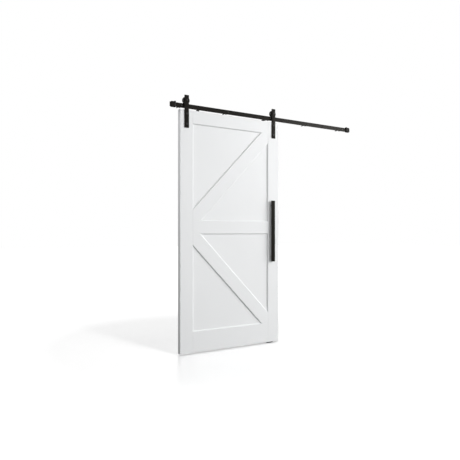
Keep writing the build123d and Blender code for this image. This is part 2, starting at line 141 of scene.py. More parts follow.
class Step:
    """One node of a recipe."""

    def __init__(self, recipe: "Recipe", node: bpy.types.Node) -> None:
        """Wraps a node of a recipe's tree."""
        self.recipe = recipe
        self.node = node

    def out(self, name: str) -> Wire:
        """The output socket with that name or identifier."""
        return Wire(self.recipe, find_socket(self.node.outputs, name))


def find_socket(sockets: bpy.types.bpy_prop_collection, key: "str | int") -> bpy.types.NodeSocket:
    """Finds a socket.

    Args:
        sockets: A node's inputs or outputs.
        key: The socket's place, identifier or name.

    Returns:
        The socket.
    """
    if isinstance(key, int):
        return sockets[key]
    by_identifier = [s for s in sockets if s.identifier == key]
    return by_identifier[0] if by_identifier else sockets[key]


@dataclass(frozen=True)
class Noise:
    """Smooth noise about 0.5: features per metre, how many finer layers it has, and their strength."""

    scale: float
    detail: float = 3.0
    rough: float = 0.5


class Recipe:
    """A node tree that is filled from Python expressions."""

    def __init__(self, tree: bpy.types.NodeTree) -> None:
        """Starts on an emptied tree."""
        self.tree = tree
        tree.nodes.clear()

    def add(self, kind: str, inputs: "dict | None" = None, **settings: object) -> Step:
        """Adds one node, and gives it its settings before its sockets' values.

        Args:
            kind: The node's type.
            inputs: What goes into its sockets, as wires, numbers, vectors or colours.
            settings: Its properties.

        Returns:
            The node.
        """
        node = self.tree.nodes.new(kind)
        for name, value in settings.items():
            setattr(node, name, value)
        for key, value in (inputs or {}).items():
            socket = find_socket(node.inputs, key)
            if isinstance(value, Wire):
                self.tree.links.new(value.socket, socket)
            else:
                socket.default_value = value
        return Step(self, node)

    def object_coordinates(self, turn: float = 0.0, stretch: tuple = (1.0, 1.0, 1.0)) -> Wire:
        """The place on the piece, turned about Y and then scaled.

        Args:
            turn: Radians about the Y axis.
            stretch: Factors along X, Y and Z after the turn.

        Returns:
            The vector.
        """
        place = self.add("ShaderNodeTexCoord").out("Object")
        turned = self.add("ShaderNodeMapping", {"Vector": place, "Rotation": (0.0, turn, 0.0)})
        scaled = self.add("ShaderNodeMapping", {"Vector": turned.out("Vector"), "Scale": stretch})
        return scaled.out("Vector")

    def split_place(self) -> Step:
        """The place on the piece, split into X, Y and Z."""
        return self.add("ShaderNodeSeparateXYZ", {"Vector": self.object_coordinates()})

    def noise(self, place: Wire, kind: Noise) -> Wire:
        """The value of a noise at a place."""
        inputs = {"Vector": place, "Scale": kind.scale, "Detail": kind.detail, "Roughness": kind.rough}
        return self.add("ShaderNodeTexNoise", inputs).out("Fac")

    def mixed(self, share: Wire, first: tuple, second: tuple) -> Wire:
        """A colour between two.

        Args:
            share: 0 for the first colour and 1 for the second.
            first: An RGB colour.
            second: An RGB colour.

        Returns:
            The colour.
        """
        inputs = {"Factor_Float": share, "A_Color": (*first, 1.0), "B_Color": (*second, 1.0)}
        return self.add("ShaderNodeMix", inputs, data_type="RGBA", clamp_factor=True).out("Result_Color")

    def bump(self, height: Wire, distance: float, under: "Wire | None" = None) -> Wire:
        """A normal bent by a height map.

        Args:
            height: The height, 0 to 1.
            distance: What a height of 1 stands for, in metres.
            under: A bent normal that this one lies over.

        Returns:
            The normal.
        """
        inputs = {"Height": height, "Distance": distance, "Strength": 1.0}
        if under:
            inputs["Normal"] = under
        return self.add("ShaderNodeBump", inputs).out("Normal")

    def surface(self, sockets: dict) -> None:
        """Ends a material in one shader with those values and wires."""
        shader = self.add("ShaderNodeBsdfPrincipled", sockets)
        self.add("ShaderNodeOutputMaterial", {"Surface": shader.out("BSDF")})


def shade(colour: tuple, factor: float) -> tuple:
    """An RGB colour times a factor."""
    return tuple(channel * factor for channel in colour)


# Finishes


class Finish:
    """What a finish has: a name, a slot name that nothing in this script reads, and a recipe."""

    name: str
    slot: str

    def fill(self, recipe: Recipe) -> None:
        """Fills the material's recipe."""
        raise NotImplementedError

    @cached_property
    def material(self) -> bpy.types.Material:
        """The finish's material, made when it is first asked for.

        Returns:
            The material.
        """
        material = bpy.data.materials.new(self.name)
        material.use_nodes = True
        self.fill(Recipe(material.node_tree))
        return material


class Grain(Enum):
    """Which way a board lies on the leaf, as the turn about Y that brings its length onto Z."""

    UPRIGHT = 0.0
    LEVEL = radians(90.0)
    RISING = radians(-44.3)
    FALLING = radians(44.3)


@dataclass(frozen=True)
class WhitePaint(Finish):
    """Satin white paint, sprayed and then rolled, on a board of primed wood fibre."""

    grain: Grain
    colour: tuple = (0.86, 0.87, 0.875)
    tones: tuple = (0.965, 1.015)
    specular: float = 0.4
    roughness: float = 0.42
    roughness_spread: float = 0.12
    stipple: Noise = Noise(620.0, 2.0, 0.55)
    stipple_height: float = 0.00006
    fibre: Noise = Noise(340.0, 4.0, 0.6)
    fibre_height: float = 0.00005
    fibre_stretch: tuple = (1.0, 1.0, 0.035)
    cloud: Noise = Noise(2.3)

    @property
    def name(self) -> str:
        """The material's name, with the way that the board lies."""
        return f"white_paint_{self.grain.name.lower()}"

    def fill(self, recipe: Recipe) -> None:
        """Clouded white with fine roller stipple over faint streaks along the board.

        The colour's tone goes between its two limits by seven parts slow noise, two of streaks and
        one of stipple. The stipple's bump lies over the streaks'.

        Args:
            recipe: The material's recipe.
        """
        place = recipe.object_coordinates()
        along = recipe.object_coordinates(self.grain.value, self.fibre_stretch)
        stipple = recipe.noise(place, self.stipple)
        fibre = recipe.noise(along, self.fibre)
        cloud = recipe.noise(place, self.cloud)
        tone = (cloud * 0.7 + fibre * 0.2 + stipple * 0.1).clipped()
        dark, light = (shade(self.colour, limit) for limit in self.tones)
        streaks = recipe.bump(fibre, self.fibre_height)
        recipe.surface(
            {
                "Specular IOR Level": self.specular,
                "Base Color": recipe.mixed(tone, dark, light),
                "Roughness": swayed(self.roughness, stipple, self.roughness_spread),
                "Normal": recipe.bump(stipple, self.stipple_height, streaks),
            }
        )


@dataclass(frozen=True)
class PowderCoat(Finish):
    """Matte black powder coat on bar and plate, with a fine orange peel."""

    name: str = "powder_coat"
    slot: str = "black_steel"
    colour: tuple = (0.0050, 0.0045, 0.0038)
    rubbed_colour: tuple = (0.0120, 0.0108, 0.0090)
    glint: tuple = (1.0, 0.955, 0.89, 1.0)
    specular: float = 0.12
    roughness: float = 0.37
    roughness_spread: float = 0.1
    rubbed_smoothing: float = 0.05
    rubbed_power: float = 2.2
    rubbed_gain: float = 1.6
    peel: Noise = Noise(850.0, 2.0)
    peel_height: float = 0.00002
    mottle: Noise = Noise(14.0, 5.0, 0.6)

    def fill(self, recipe: Recipe) -> None:
        """Near-black with slow mottling and orange peel.

        The rubbed share is slow noise raised to a power, so that rubbed patches are few. The coat is
        lighter and a little smoother there.

        Args:
            recipe: The material's recipe.
        """
        place = recipe.object_coordinates()
        peel = recipe.noise(place, self.peel)
        rubbed = (recipe.noise(place, self.mottle) ** self.rubbed_power * self.rubbed_gain).clipped()
        roughness = swayed(self.roughness, peel, self.roughness_spread)
        recipe.surface(
            {
                "Specular IOR Level": self.specular,
                "Specular Tint": self.glint,
                "Base Color": recipe.mixed(rubbed, self.colour, self.rubbed_colour),
                "Roughness": roughness - rubbed * self.rubbed_smoothing,
                "Normal": recipe.bump(peel, self.peel_height),
            }
        )


@dataclass(frozen=True)
class BlackOxide(Finish):
    """Oiled black oxide on bolts, nuts and screws, a little bare on what a spanner touches."""

    name: str = "black_oxide"
    slot: str = "black_bolts"
    colour: tuple = (0.022, 0.021, 0.020)
    bare: tuple = (0.075, 0.072, 0.067)
    metallic: float = 0.25
    bare_metallic: float = 0.35
    specular: float = 0.4
    roughness: float = 0.36
    roughness_spread: float = 0.2
    bare_smoothing: float = 0.05
    grit: Noise = Noise(1500.0, 2.0)
    grit_height: float = 0.00002
    scuff: Noise = Noise(210.0, 4.0, 0.65)
    scuff_threshold: float = 0.52
    scuff_slope: float = 5.0

    def fill(self, recipe: Recipe) -> None:
        """Dark metal with paler scuffs, which are noise above a threshold.

        Where it is scuffed the surface is more metallic and a little smoother.

        Args:
            recipe: The material's recipe.
        """
        place = recipe.object_coordinates()
        grit = recipe.noise(place, self.grit)
        scuffs = above(recipe.noise(place, self.scuff), self.scuff_threshold, self.scuff_slope)
        roughness = swayed(self.roughness, grit, self.roughness_spread)
        recipe.surface(
            {
                "Specular IOR Level": self.specular,
                "Base Color": recipe.mixed(scuffs, self.colour, self.bare),
                "Metallic": self.metallic + scuffs * self.bare_metallic,
                "Roughness": roughness - scuffs * self.bare_smoothing,
                "Normal": recipe.bump(grit, self.grit_height),
            }
        )


@dataclass(frozen=True)
class Moulded(Finish):
    """A black moulded polymer: rubber when rough and dusty, nylon when smoother."""

    name: str
    slot: str
    colour: tuple
    dusty: tuple
    roughness: float
    roughness_spread: float = 0.15
    specular: float = 0.35
    texture: Noise = Noise(900.0, 3.0, 0.6)
    texture_height: float = 0.00004
    drift: Noise = Noise(45.0)
    dust_threshold: float = 0.45
    dust_slope: float = 2.5

    def fill(self, recipe: Recipe) -> None:
        """Black with a mould texture and a little dust.

        Dust is seven parts slow noise and three parts texture, above a threshold.

        Args:
            recipe: The material's recipe.
        """
        place = recipe.object_coordinates()
        texture = recipe.noise(place, self.texture)
        drift = recipe.noise(place, self.drift)
        dust = above(drift * 0.7 + texture * 0.3, self.dust_threshold, self.dust_slope)
        recipe.surface(
            {
                "Specular IOR Level": self.specular,
                "Base Color": recipe.mixed(dust, self.colour, self.dusty),
                "Roughness": swayed(self.roughness, texture, self.roughness_spread),
                "Normal": recipe.bump(texture, self.texture_height),
            }
        )


@dataclass(frozen=True)
class GroundSteel(Finish):
    """Bright bearing steel, ground in rings about a line along Y."""

    name: str
    axle_x: float
    axle_z: float
    slot: str = "bearing_steel"
    colour: tuple = (0.46, 0.465, 0.47)
    tones: tuple = (0.8, 1.15)
    roughness: float = 0.28
    roughness_spread: float = 0.25
    rings: Noise = Noise(5200.0, 2.0, 0.6)
    ring_height: float = 0.00001

    def fill(self, recipe: Recipe) -> None:
        """Steel with grinding rings, which are noise read by the distance from the line.

        Args:
            recipe: The material's recipe.
        """
        place = recipe.split_place()
        distance = hypotenuse(place.out("X") - self.axle_x, place.out("Z") - self.axle_z)
        line = recipe.add("ShaderNodeCombineXYZ", {"X": distance}).out("Vector")
        rings = recipe.noise(line, self.rings)
        dark, light = (shade(self.colour, limit) for limit in self.tones)
        recipe.surface(
            {
                "Metallic": 1.0,
                "Base Color": recipe.mixed(rings, dark, light),
                "Roughness": swayed(self.roughness, rings, self.roughness_spread),
                "Normal": recipe.bump(rings, self.ring_height),
            }
        )


@dataclass(frozen=True)
class BareBeech(Finish):
    """Bare beech, cut along the grain, with its small dark flecks."""

    name: str = "bare_beech"
    pale: tuple = (0.66, 0.47, 0.30)
    dark: tuple = (0.50, 0.33, 0.19)
    specular: float = 0.3
    roughness: float = 0.62
    roughness_spread: float = 0.15
    stretch: tuple = (0.08, 1.0, 1.0)
    grain: Noise = Noise(160.0, 5.0, 0.6)
    grain_height: float = 0.0001
    fleck: Noise = Noise(900.0, 2.0)
    fleck_threshold: float = 0.6
    fleck_slope: float = 8.0

    def fill(self, recipe: Recipe) -> None:
        """Long soft grain along X, with flecks: finer noise drawn out in the same way, above a threshold.

        Args:
            recipe: The material's recipe.
        """
        place = recipe.object_coordinates(0.0, self.stretch)
        grain = recipe.noise(place, self.grain)
        flecks = above(recipe.noise(place, self.fleck), self.fleck_threshold, self.fleck_slope)
        share = (grain * 0.8 + flecks * 0.4).clipped()
        recipe.surface(
            {
                "Specular IOR Level": self.specular,
                "Base Color": recipe.mixed(share, self.pale, self.dark),
                "Roughness": swayed(self.roughness, grain, self.roughness_spread),
                "Normal": recipe.bump(grain, self.grain_height),
            }
        )


@dataclass(frozen=True)
class StudioFloor(Finish):
    """The floor's white, which glows and takes shadow where the camera sees it."""

    name: str = "studio_floor"
    glow: float = 0.45
    shown: float = 0.98
    thrown: float = 0.1
    centre: tuple = (-0.6, 0.4)
    near: float = 1.3
    far: float = 3.2
    mirror_share: float = 0.45
    mirror_reach: float = 2.4
    mirror_edge: float = 0.02
    mirror_roughness: float = 0.3

    def fill(self, recipe: Recipe) -> None:
        """A matte surface with a faint mirror over it.

        The camera sees a pale floor. Its glow is lowest up to the distance near from the centre, and
        rises evenly to 1 at the distance far. Other rays meet a darker floor that doesn't glow.

        The mirror's share is greatest just in front of the wall's plane and falls evenly to nothing at
        its reach. Behind that plane there is none.

        Args:
            recipe: The material's recipe.
        """
        seen = recipe.add("ShaderNodeLightPath").out("Is Camera Ray")
        place = recipe.split_place()
        distance = hypotenuse(*(place.out(axis) - centre for axis, centre in zip("XY", self.centre)))
        away = above(distance, self.near, 1 / (self.far - self.near))
        glow = self.glow + away * (1 - self.glow)
        black, thrown, shown, white = ((tone,) * 3 for tone in (0.0, self.thrown, self.shown, 1.0))
        matte = recipe.add(
            "ShaderNodeBsdfPrincipled",
            {
                "Specular IOR Level": 0.0,
                "Roughness": 1.0,
                "Emission Strength": 1.0,
                "Base Color": recipe.mixed(seen, thrown, shown),
                "Emission Color": recipe.mixed(seen * glow, black, white),
            },
        )
        sockets = {"Color": (*white, 1.0), "Roughness": self.mirror_roughness}
        mirror = recipe.add("ShaderNodeBsdfGlossy", sockets)
        nearness = (place.out("Y") * (1 / self.mirror_reach) + 1.0).clipped()
        in_front = (place.out("Y") * (-1 / self.mirror_edge)).clipped()
        share = seen * nearness * in_front * self.mirror_share
        mix = recipe.add("ShaderNodeMixShader", {0: share, 1: matte.out("BSDF"), 2: mirror.out("BSDF")})
        recipe.add("ShaderNodeOutputMaterial", {"Surface": mix.out("Shader")})


COAT = PowderCoat()
OXIDE = BlackOxide()
RUBBER = Moulded("black_rubber", "black_rubber", (0.014, 0.0135, 0.013), (0.04, 0.039, 0.037), 0.72)
NYLON = Moulded("black_nylon", "black_nylon", (0.016, 0.0155, 0.015), (0.036, 0.035, 0.033), 0.42)


# Surfaces


@dataclass(frozen=True)
class Extent:
    """The box of a CAD node at rest."""

    low: np.ndarray
    high: np.ndarray

    @classmethod
    def of(cls, node: str) -> "Extent":
        """The named node's box."""
        return cls(*np.array(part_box(node)))

    @property
    def middle(self) -> np.ndarray:
        """The box's centre."""
        return (self.low + self.high) / 2

    def half(self, axis: int) -> float:
        """Half the box's size along an axis."""
        return (self.high[axis] - self.low[axis]) / 2

    def ends(self, axis: int, inset: float) -> "tuple[float, float]":
        """The two places along an axis that lie an inset inside the box's ends."""
        return self.low[axis] + inset, self.high[axis] - inset


@dataclass
class Surface:
    """A tube-like surface, as a grid of points: rows along it and columns round it.

    The columns always close. The rows either close as well, as in a ring, or end in two flat caps.
    """

    points: np.ndarray
    closed: bool = False

    def faces(self) -> "list[list[int]]":
        """The quads between neighbouring rows and columns, and then the caps.

        The sum of a . (b x c) over all triangles is six times the signed volume. Where it is negative
        the surface is inside out, and every face is turned round.

        Returns:
            The faces as indices of points, with their fronts outside.
        """
        rows, columns = self.points.shape[:2]
        index = np.arange(rows * columns).reshape(rows, columns)
        below = index if self.closed else index[:-1]
        above = np.roll(index, -1, axis=0) if self.closed else index[1:]
        corners = (below, np.roll(below, -1, axis=1), np.roll(above, -1, axis=1), above)
        quads = np.stack(corners, axis=-1).reshape(-1, 4)
        caps = [] if self.closed else [index[0][::-1], index[-1]]
        flat = self.points.reshape(-1, 3)
        flat = flat - flat.mean(axis=0)
        a, b, c, d = (flat[corner] for corner in quads.T)
        six_volumes = (a * np.cross(b, c)).sum() + (a * np.cross(c, d)).sum()
        for rim in (flat[cap] for cap in caps):
            six_volumes += (rim[0] * np.cross(rim[1:-1], rim[2:])).sum()
        way = 1 if six_volumes > 0 else -1
        return quads[:, ::way].tolist() + [cap[::way].tolist() for cap in caps]


def add_piece(name: str, surfaces: "list[Surface]", body: str, finish: Finish, node: str) -> None:
    """Makes one object of several closed surfaces, in the place of a CAD node.

    Args:
        name: The piece's name.
        surfaces: Its surfaces.
        body: The CAD body that it rides on.
        finish: Its finish.
        node: The CAD node that it stands for.
    """
    points, faces, offset = [], [], 0
    for surface in surfaces:
        faces += [[index + offset for index in face] for face in surface.faces()]
        points.append(surface.points.reshape(-1, 3))
        offset += points[-1].shape[0]
    mesh = bpy.data.meshes.new(name)
    mesh.from_pydata(np.vstack(points).tolist(), [], faces)
    mesh.polygons.foreach_set("use_smooth", np.ones(len(mesh.polygons), bool))
    mesh.set_sharp_from_angle(angle=SHARP_EDGE)
    mesh.materials.append(finish.material)
    mesh.update()
    piece = bpy.data.objects.new(name, mesh)
    bpy.context.scene.collection.objects.link(piece)
    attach(piece, body)
    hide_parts(node)
    log.info("%s: %d points, stands for %s", name, len(mesh.vertices), node)


def dress(node: str, finish: Finish) -> None:
    """Gives a CAD node a finish in place of its plain one.

    Args:
        node: The node.
        finish: Its new finish.
    """
    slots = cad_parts[node].data.materials
    slots.clear()
    slots.append(finish.material)
    log.info("%s: %s", node, finish.name)


def rounded(corners: np.ndarray, radius: "float | np.ndarray", steps: int = EDGE_STEPS) -> np.ndarray:
    """Rounds every corner of closed outlines.

    Each corner V becomes the curve (1-t)^2 A + 2t(1-t) V + t^2 B, where A and B lie on its two sides,
    a radius away or at most 45 percent of the side.

    Args:
        corners: The outline's corners, of shape (..., corners, 2).
        radius: One distance for all corners, or one for each.
        steps: How many spans each curve has.

    Returns:
        The points, of shape (..., corners x (steps + 1), 2).
    """
    reach = np.broadcast_to(radius, corners.shape[:-1])[..., None]
    legs = []
    for neighbour in (1, -1):
        side = np.roll(corners, neighbour, axis=-2) - corners
        length = np.linalg.norm(side, axis=-1, keepdims=True)
        legs.append(corners + side / length * np.minimum(reach, 0.45 * length))
    start, end = (leg[..., None, :] for leg in legs)
    t = np.linspace(0.0, 1.0, steps + 1)[:, None]
    curve = (1 - t) ** 2 * start + 2 * t * (1 - t) * corners[..., None, :] + t**2 * end
    return curve.reshape(*corners.shape[:-2], -1, 2)


def columns(count: int) -> np.ndarray:
    """Angles evenly round a circle, from 0."""
    return np.arange(count) * 2 * pi / count


def quarter(steps: int) -> np.ndarray:
    """Angles evenly from 0 to a right angle."""
    return np.linspace(0.0, pi / 2, steps + 1)


def all_round(rows: np.ndarray, segments: int) -> "tuple[np.ndarray, np.ndarray]":
    """The radii and places of (radius, place) rows, repeated in every column."""
    return tuple(np.repeat(rows[:, i : i + 1], segments, axis=1) for i in (0, 1))


class Way(Enum):
    """Which way the axis of a turned shape runs: the axis's number and its sign."""

    TO_WALL = (1, 1.0)
    TO_FRONT = (1, -1.0)
    UP = (2, 1.0)
    DOWN = (2, -1.0)


def turned(grids: "tuple[np.ndarray, np.ndarray]", way: Way, place: tuple) -> np.ndarray:
    """Points round an axis, with r cos a along X and r sin a along the third axis.

    Args:
        grids: The radius r and the place along the axis, at each row and column.
        way: Which way the axis runs.
        place: The point on it from which places are counted.

    Returns:
        The grid of points.
    """
    radius, along = grids
    axis, sign = way.value
    third = 3 - axis
    angle = columns(radius.shape[1])
    points = np.empty((*radius.shape, 3))
    points[..., 0] = place[0] + radius * np.cos(angle)
    points[..., axis] = place[axis] + sign * along
    points[..., third] = place[third] + radius * np.sin(angle)
    return points


def ring(section: np.ndarray, way: Way, place: tuple, segments: int) -> Surface:
    """A ring about an axis.

    Args:
        section: Its closed section, as (radius, place along the axis) points.
        way: Which way the axis runs.
        place: The point on it from which places are counted.
        segments: How many columns go round.

    Returns:
        The surface.
    """
    return Surface(turned(all_round(section, segments), way, place), closed=True)


def even_ring(corners: list, edge: float, steps: int, middle: np.ndarray, segments: int) -> Surface:
    """A ring along Y that is the same before and behind its middle.

    Args:
        corners: The (radius, place) corners of its half behind the middle.
        edge: How far its corners are rounded.
        steps: How many spans each rounding has.
        middle: The ring's centre.
        segments: How many columns go round.

    Returns:
        The surface.
    """
    behind = np.array(corners)
    section = rounded(np.vstack([behind, behind[::-1] * (1.0, -1.0)]), edge, steps)
    return ring(section, Way.TO_WALL, middle, segments)


def tube(box: Extent, bore: float, edge: float, x: float, z: float) -> Surface:
    """A tube along Y with eased edges.

    Args:
        box: The box of the node that holds it, as high and as long as the tube.
        bore: The radius of its bore.
        edge: How far its edges are eased.
        x: Where its axis is.
        z: Where its axis is.

    Returns:
        The surface.
    """
    outer, front, back = box.half(2), box.low[1], box.high[1]
    corners = np.array([(bore, front), (outer, front), (outer, back), (bore, back)])
    return ring(rounded(corners, edge, steps=3), Way.TO_WALL, (x, 0.0, z), ROUND_SEGMENTS)


def quarter_inset(distance: np.ndarray, radius: float) -> np.ndarray:
    """How far a rounded end lies inside its full width: r - sqrt(r^2 - (r - d)^2) for d under r, else 0.

    Args:
        distance: The distances d from the end.
        radius: The rounding's radius r.

    Returns:
        The insets.
    """
    depth = np.clip(radius - distance, 0.0, radius)
    return radius - np.sqrt(radius**2 - depth**2)


def flat_bar(box: Extent, long_axis: int, edge: float, corner: float) -> Surface:
    """A flat bar that fills a box, with eased edges and rounded ends.

    Its section is a rectangle with a quarter circle at each corner. Towards each end the section's
    thickness shrinks along a quarter circle of radius edge, and its width along one of radius corner.

    Args:
        box: The bar's box. Its thickness lies along Y.
        long_axis: 0 for a bar along X, 2 for one along Z.
        edge: The radius of the long edges.
        corner: The radius of the corners seen from the front.

    Returns:
        The surface.
    """
    wide_axis = 2 - long_axis
    ends = corner * (1 - np.cos(quarter(END_STEPS)))
    distance = np.concatenate([ends, ends[::-1]])
    place = np.concatenate([box.low[long_axis] + ends, box.high[long_axis] - ends[::-1]])
    width = box.half(wide_axis) - quarter_inset(distance, corner)
    thick = box.half(1) - quarter_inset(distance, edge)
    angle = (quarter(BAR_EDGE_STEPS) + np.arange(4)[:, None] * pi / 2).ravel()
    side = np.repeat([1.0, -1.0, -1.0, 1.0], BAR_EDGE_STEPS + 1)
    face = np.repeat([1.0, 1.0, -1.0, -1.0], BAR_EDGE_STEPS + 1)
    across = side * (width[:, None] - edge) + edge * np.cos(angle)
    deep = face * (thick[:, None] - edge) + edge * np.sin(angle)
    grid = np.empty((*across.shape, 3))
    grid[..., long_axis] = place[:, None]
    grid[..., wide_axis] = box.middle[wide_axis] + across
    grid[..., 1] = box.middle[1] + deep
    return Surface(grid)


# Fasteners


class Drive(Enum):
    """How a fastener is turned."""

    HEXAGON_HEAD = "hexagon head"
    HEXAGON_SOCKET = "hexagon socket"
    CROSS_RECESS = "cross recess"


def hexagon_radius(flats: float, angle: np.ndarray) -> np.ndarray:
    """The radius of a hexagon with corners at 0 and every 60 degrees.

    It is half the width across flats over the cosine of the angle from the nearest flat's middle.

    Args:
        flats: The width across flats.
        angle: Where round the hexagon, in radians.

    Returns:
        The radii.
    """
    sector = pi / 3
    return flats / 2 / np.cos(np.mod(angle, sector) - sector / 2)


@dataclass(frozen=True)
class Thread:
    """A screw thread between two places along a fastener."""

    pitch: float
    depth: float
    start: float
    end: float
    fade: float = 0.0015
    rows_per_turn: int = 8

    def rows(self) -> np.ndarray:
        """The places of its rows."""
        count = int((self.end - self.start) / self.pitch * self.rows_per_turn)
        return np.linspace(self.start, self.end, count + 1)

    def core(self, along: np.ndarray) -> np.ndarray:
        """How deep its core lies: nothing at its start, and its depth past the fade."""
        return self.depth * np.clip((along - self.start) / self.fade, 0.0, 1.0)

    def height(self, along: np.ndarray, angle: np.ndarray) -> np.ndarray:
        """The thread's height above its core.

        The phase is the distance over the pitch less the share of a turn. The height is the depth
        times a triangle wave of the phase with its crest cut flat, faded to nothing at both ends.

        Args:
            along: The places along the fastener.
            angle: The angles round it.

        Returns:
            The heights.
        """
        phase = np.mod(along / self.pitch - angle / (2 * pi), 1.0)
        wave = np.clip(1.25 - np.abs(phase - 0.5) * 3.0, 0.0, 1.0)
        inside = np.minimum(along - self.start, self.end - along) / self.fade
        return self.depth * wave * np.clip(inside, 0.0, 1.0)


@dataclass(frozen=True)
class Bolt:
    """A headed fastener along its own axis, which runs from 0 at the seat under its head to its tip.

    The head lies at negative places.
    """

    drive: Drive
    head_radius: float
    head_height: float
    shank_radius: float
    length: float
    thread: "Thread | None" = None
    point: float = 0.0008
    countersunk: bool = False
    recess: float = 0.0
    recess_depth: float = 0.0
    segments: int = ROUND_SEGMENTS
    crown_share: float = 0.93
    pole: float = 0.00005
    ease: float = 0.0002
    hexagon_ease: float = 0.0003
    socket_slope: float = 0.0002
    cross_slope: float = 0.0003
    face_rows: int = 14

    def at(self, way: Way, place: tuple) -> Surface:
        """The fastener with its seat at a place.

        Args:
            way: Which way it points.
            place: Where its axis meets its seat.

        Returns:
            The surface.
        """
        return Surface(turned(self._grids(), way, place))

    def _grids(self) -> "tuple[np.ndarray, np.ndarray]":
        """The radius and the place along the axis, at each row and column.

        Rows run over the head's face from its centre, down its side, along the shank and to the tip.

        Returns:
            The radii and the places.
        """
        angle = columns(self.segments)
        crown = self.head_radius * self.crown_share
        face = np.linspace(self.pole, crown, self.face_rows)[:, None]
        thread, taper = self.thread, self.length - self.point
        places = np.array([self.ease, *(thread.rows() if thread else ()), taper])[:, None]
        stem = np.full((len(places), self.segments), self.shank_radius)
        if thread:
            stem = stem - thread.core(places) + thread.height(places, angle)
        tip = np.array([[self.shank_radius * 0.7, self.length - self.point * 0.3], [self.pole, self.length]])
        blocks = (
            (np.repeat(face, self.segments, axis=1), self._recess(face, angle) - self.head_height),
            self._side(angle, crown),
            (stem, np.repeat(places, self.segments, axis=1)),
            all_round(tip, self.segments),
        )
        return tuple(np.vstack(parts) for parts in zip(*blocks))

    def _side(self, angle: np.ndarray, crown: float) -> "tuple[np.ndarray, np.ndarray]":
        """The rows down the head's side and under it.

        A countersunk head's is a cone. A hexagon head's is the lesser of the hexagon's radius and a
        30 degree cone's. A round head's starts in a quarter circle.

        Args:
            angle: The columns' angles.
            crown: The radius of the head's flat face.

        Returns:
            The radii and the places.
        """
        top, rim, shank = -self.head_height, self.head_radius, self.shank_radius
        if self.countersunk:
            return all_round(np.array([[rim, top + self.ease], [shank, 0.0]]), self.segments)
        if self.drive is Drive.HEXAGON_HEAD:
            corner = rim * 2 / 3**0.5
            spread = np.linspace(crown, corner, CHAMFER_ROWS)
            chamfer = top + (spread - crown) * np.tan(CHAMFER)
            cone = np.array([*spread, corner, rim, shank])
            places = np.array([*chamfer, -self.hexagon_ease, 0.0, 0.0])
            radius, along = all_round(np.column_stack([cone, places]), self.segments)
            return np.minimum(radius, hexagon_radius(2 * rim, angle)), along
        turn, edge = quarter(EDGE_STEPS), rim - crown
        side = np.column_stack([crown + edge * np.sin(turn), top + edge * (1 - np.cos(turn))])
        under = [[rim, -self.ease], [rim - self.ease, 0.0], [shank, 0.0]]
        return all_round(np.vstack([side, under]), self.segments)

    def _recess(self, radius: np.ndarray, angle: np.ndarray) -> np.ndarray:
        """The depth of the drive's recess, as a steep slope between inside and outside its outline.

        A socket's inside is where the radius is under the hexagon's. A cross's is where the distance
        from the nearer arm's middle line is under a sixth of the recess's width, and it gets
        shallower outwards.

        Args:
            radius: The radii on the head's face.
            angle: The angles round it.

        Returns:
            The depths.
        """
        if not self.recess:
            return np.zeros(np.broadcast_shapes(radius.shape, angle.shape))
        if self.drive is Drive.HEXAGON_SOCKET:
            margin = (hexagon_radius(self.recess, angle) - radius) / self.socket_slope
            return self.recess_depth * np.clip(margin + 0.5, 0.0, 1.0)
        arm = np.minimum(np.abs(radius * np.cos(angle)), np.abs(radius * np.sin(angle)))
        margin = np.minimum(self.recess / 6 - arm, self.recess / 2 - radius) / self.cross_slope
        taper = 1.0 - 0.5 * radius / (self.recess / 2)
        return self.recess_depth * np.clip(margin + 0.5, 0.0, 1.0) * np.clip(taper, 0.0, 1.0)


@dataclass(frozen=True)
class WoodScrew:
    """A countersunk cross-recess screw with a drawn-out point."""

    head: float
    shank: float
    pitch: float
    thread_depth: float
    bare: float
    recess: float
    recess_depth: float
    point: float = 0.003
    fade: float = 0.001
    rows_per_turn: int = 6

    def down(self, box: Extent, places: Spots) -> "list[Surface]":
        """The screws of a node, pointing down.

        Args:
            box: The node's box, as high as each screw.
            places: Their x and y.

        Returns:
            The surfaces.
        """
        sink = self.head - self.shank
        length = box.high[2] - box.low[2] - sink
        end, finer = length - self.point, (self.fade, self.rows_per_turn)
        screw = Bolt(
            drive=Drive.CROSS_RECESS,
            head_radius=self.head,
            head_height=sink,
            shank_radius=self.shank,
            length=length,
            thread=Thread(self.pitch, self.thread_depth, self.bare, end, *finer),
            point=self.point,
            countersunk=True,
            recess=self.recess,
            recess_depth=self.recess_depth,
        )
        return [screw.at(Way.DOWN, (x, y, box.high[2] - sink)) for x, y in places]


def hexagon_nut(box: Extent, flats: float, bore: float, x: float, z: float) -> Surface:
    """A nut with both faces chamfered at 30 degrees.

    Its outside is the lesser of the hexagon's radius and the two cones'.

    Args:
        box: The box of the node that holds it, as long as the nut.
        flats: The width across flats.
        bore: The radius of its bore.
        x: Where its axis is.
        z: Where its axis is.

    Returns:
        The surface.
    """
    ease, crown_share = 0.0004, 0.95
    front, back = box.low[1], box.high[1]
    crown, corner = flats / 2 * crown_share, flats / 3**0.5
    spread = np.linspace(crown, corner, CHAMFER_ROWS)
    rise = (spread - crown) * np.tan(CHAMFER)
    cone = np.array([bore + ease, *spread, *spread[::-1], bore + ease, bore, bore])
    places = np.array([front, *(front + rise), *(back - rise[::-1]), back, back - ease, front + ease])
    radius, along = all_round(np.column_stack([cone, places]), ROUND_SEGMENTS)
    radius = np.minimum(radius, hexagon_radius(flats, columns(ROUND_SEGMENTS)))
    return Surface(turned((radius, along), Way.TO_WALL, (x, 0.0, z)), closed=True)


# Sub-assemblies


